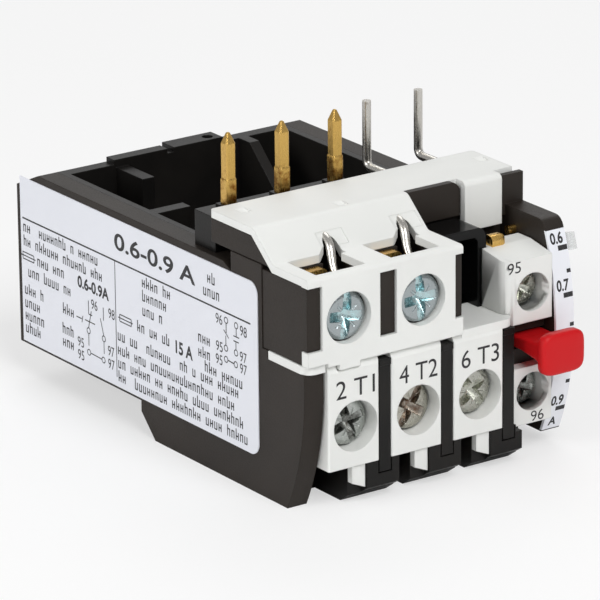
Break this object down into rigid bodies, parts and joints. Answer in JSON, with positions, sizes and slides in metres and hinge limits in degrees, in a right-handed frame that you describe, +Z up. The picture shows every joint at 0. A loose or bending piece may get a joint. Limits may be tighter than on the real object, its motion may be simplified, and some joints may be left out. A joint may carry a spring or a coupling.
{
  "type": "thermal overload relay",
  "caption": "Thermal overload relay with screw terminals, a setting scale and a reset button, which plugs into the terminals below a contactor.",
  "frame": {"origin": "bottom centre of the whole relay", "axes": "+X from the label side to the scale side, +Y from the front to the back, +Z up towards the contactor"},
  "size_m": [0.0464, 0.0752, 0.0466],
  "materials": {
    "dark_body": "moulded, fine matt grain",
    "white_body": "moulded, fine matt grain",
    "gloss_black": "moulded, polished",
    "label_film": "printed film",
    "scale_film": "printed film",
    "clear_lever": "clear moulded",
    "red_cap": "moulded, satin",
    "spring_wire": "drawn wire",
    "brass": "stamped, bright",
    "zinc_steel": "zinc plated",
    "tinned_copper": "tinned wire",
    "bimetal": "rolled strip",
    "heater_wire": "oxidised resistance strip"
  },
  "bodies": {
    "housing": {"housing_base": "dark_body", "left_side_cover": "dark_body", "right_side_cover": "dark_body", "pole_barriers": "dark_body", "coil_terminal_body": "dark_body", "button_guide": "dark_body", "pin_carrier": "dark_body", "pole_terminal_front": "white_body", "top_cover": "white_body", "aux_terminal_95": "white_body", "aux_terminal_96": "white_body", "phase_partition": "gloss_black", "rating_label": "label_film", "current_scale": "scale_film", "reset_spring": "spring_wire", "main_pin_1": "brass", "main_pin_2": "brass", "main_pin_3": "brass", "pole_terminal_bar_1": "brass", "pole_terminal_bar_2": "brass", "pole_terminal_bar_3": "brass", "coil_terminal_bar_1": "brass", "coil_terminal_bar_2": "brass", "fixed_contact_95": "brass", "fixed_contact_96": "brass", "contact_wire": "tinned_copper", "coil_wire": "tinned_copper", "bimetal_strip_1": "bimetal", "bimetal_strip_2": "bimetal", "bimetal_strip_3": "bimetal", "heater_winding_1": "heater_wire", "heater_winding_2": "heater_wire", "heater_winding_3": "heater_wire"},
    "pole_clamp_1": {"pole_clamp_1": "zinc_steel"},
    "pole_screw_1": {"pole_screw_1": "zinc_steel"},
    "pole_clamp_2": {"pole_clamp_2": "zinc_steel"},
    "pole_screw_2": {"pole_screw_2": "zinc_steel"},
    "pole_clamp_3": {"pole_clamp_3": "zinc_steel"},
    "pole_screw_3": {"pole_screw_3": "zinc_steel"},
    "coil_clamp_1": {"coil_clamp_1": "zinc_steel"},
    "coil_screw_1": {"coil_screw_1": "zinc_steel"},
    "coil_clamp_2": {"coil_clamp_2": "zinc_steel"},
    "coil_screw_2": {"coil_screw_2": "zinc_steel"},
    "aux_clamp_95": {"aux_clamp_95": "zinc_steel"},
    "aux_screw_95": {"aux_screw_95": "zinc_steel"},
    "aux_clamp_96": {"aux_clamp_96": "zinc_steel"},
    "aux_screw_96": {"aux_screw_96": "zinc_steel"},
    "reset_button": {"reset_button": "red_cap"},
    "setting_lever": {"setting_lever": "clear_lever"},
    "trip_slider": {"trip_slider": "dark_body"},
    "trip_lever": {"trip_lever": "dark_body"},
    "contact_bridge": {"contact_bridge": "brass"}
  },
  "joints": [
    {"name": "pole_clamp_1_slide", "type": "slide", "parent": "housing", "child": "pole_clamp_1", "axis": [0, 1, 0], "range_m": [0, 0.0028]},
    {"name": "pole_screw_1_turn", "type": "hinge", "parent": "pole_clamp_1", "child": "pole_screw_1", "pos_m": [-0.01528, -0.0318, 0.0115], "axis": [0, 1, 0], "range_deg": [0, 1680.5]},
    {"name": "pole_clamp_2_slide", "type": "slide", "parent": "housing", "child": "pole_clamp_2", "axis": [0, 1, 0], "range_m": [0, 0.0028]},
    {"name": "pole_screw_2_turn", "type": "hinge", "parent": "pole_clamp_2", "child": "pole_screw_2", "pos_m": [-0.00492, -0.0318, 0.0115], "axis": [0, 1, 0], "range_deg": [0, 1680.5]},
    {"name": "pole_clamp_3_slide", "type": "slide", "parent": "housing", "child": "pole_clamp_3", "axis": [0, 1, 0], "range_m": [0, 0.0028]},
    {"name": "pole_screw_3_turn", "type": "hinge", "parent": "pole_clamp_3", "child": "pole_screw_3", "pos_m": [0.00543, -0.0318, 0.0115], "axis": [0, 1, 0], "range_deg": [0, 1680.5]},
    {"name": "coil_clamp_1_slide", "type": "slide", "parent": "housing", "child": "coil_clamp_1", "axis": [0, 1, 0], "range_m": [0, 0.0016]},
    {"name": "coil_screw_1_turn", "type": "hinge", "parent": "coil_clamp_1", "child": "coil_screw_1", "pos_m": [-0.01648, -0.0318, 0.0271], "axis": [0, 1, 0], "range_deg": [0, 960.5]},
    {"name": "coil_clamp_2_slide", "type": "slide", "parent": "housing", "child": "coil_clamp_2", "axis": [0, 1, 0], "range_m": [0, 0.0016]},
    {"name": "coil_screw_2_turn", "type": "hinge", "parent": "coil_clamp_2", "child": "coil_screw_2", "pos_m": [-0.00428, -0.0318, 0.0271], "axis": [0, 1, 0], "range_deg": [0, 960.5]},
    {"name": "aux_clamp_95_slide", "type": "slide", "parent": "housing", "child": "aux_clamp_95", "axis": [0, 1, 0], "range_m": [0, 0.0018]},
    {"name": "aux_screw_95_turn", "type": "hinge", "parent": "aux_clamp_95", "child": "aux_screw_95", "pos_m": [0.01537, -0.0318, 0.0237], "axis": [0, 1, 0], "range_deg": [0, 1296.5]},
    {"name": "aux_clamp_96_slide", "type": "slide", "parent": "housing", "child": "aux_clamp_96", "axis": [0, 1, 0], "range_m": [0, 0.0018]},
    {"name": "aux_screw_96_turn", "type": "hinge", "parent": "aux_clamp_96", "child": "aux_screw_96", "pos_m": [0.01537, -0.0318, 0.0094], "axis": [0, 1, 0], "range_deg": [0, 1296.5]},
    {"name": "reset_button_press", "type": "slide", "parent": "housing", "child": "reset_button", "axis": [0, 1, 0], "range_m": [0, 0.0025], "stiffness_N_per_m": 400, "deforming": ["reset_spring"]},
    {"name": "setting_lever_turn", "type": "hinge", "parent": "housing", "child": "setting_lever", "pos_m": [0.02142, 0.0062, 0.0176], "axis": [1, 0, 0], "range_deg": [0, 36]},
    {"name": "trip_slider_travel", "type": "slide", "parent": "housing", "child": "trip_slider", "axis": [1, 0, 0], "range_m": [0, 0.0012], "stiffness_N_per_m": 300},
    {"name": "trip_lever_turn", "type": "hinge", "parent": "housing", "child": "trip_lever", "pos_m": [0.01392, 0.0142, 0.012], "axis": [0, 0, -1], "range_deg": [0, 10.01]},
    {"name": "contact_bridge_turn", "type": "hinge", "parent": "housing", "child": "contact_bridge", "pos_m": [0.01222, -0.0038, 0.0097], "axis": [0, 0, 1], "range_deg": [0, 8.01]}
  ],
  "couplings": [
    {"joint": "pole_screw_1_turn", "follows": "pole_clamp_1_slide", "rad_per_m": 10472},
    {"joint": "pole_screw_2_turn", "follows": "pole_clamp_2_slide", "rad_per_m": 10472},
    {"joint": "pole_screw_3_turn", "follows": "pole_clamp_3_slide", "rad_per_m": 10472},
    {"joint": "coil_screw_1_turn", "follows": "coil_clamp_1_slide", "rad_per_m": 10472},
    {"joint": "coil_screw_2_turn", "follows": "coil_clamp_2_slide", "rad_per_m": 10472},
    {"joint": "aux_screw_95_turn", "follows": "aux_clamp_95_slide", "rad_per_m": 12566},
    {"joint": "aux_screw_96_turn", "follows": "aux_clamp_96_slide", "rad_per_m": 12566},
    {"joint": "trip_lever_turn", "follows": "trip_slider_travel", "rad_per_m": 145.44},
    {"joint": "contact_bridge_turn", "follows": "trip_slider_travel", "rad_per_m": 116.36}
  ]
}
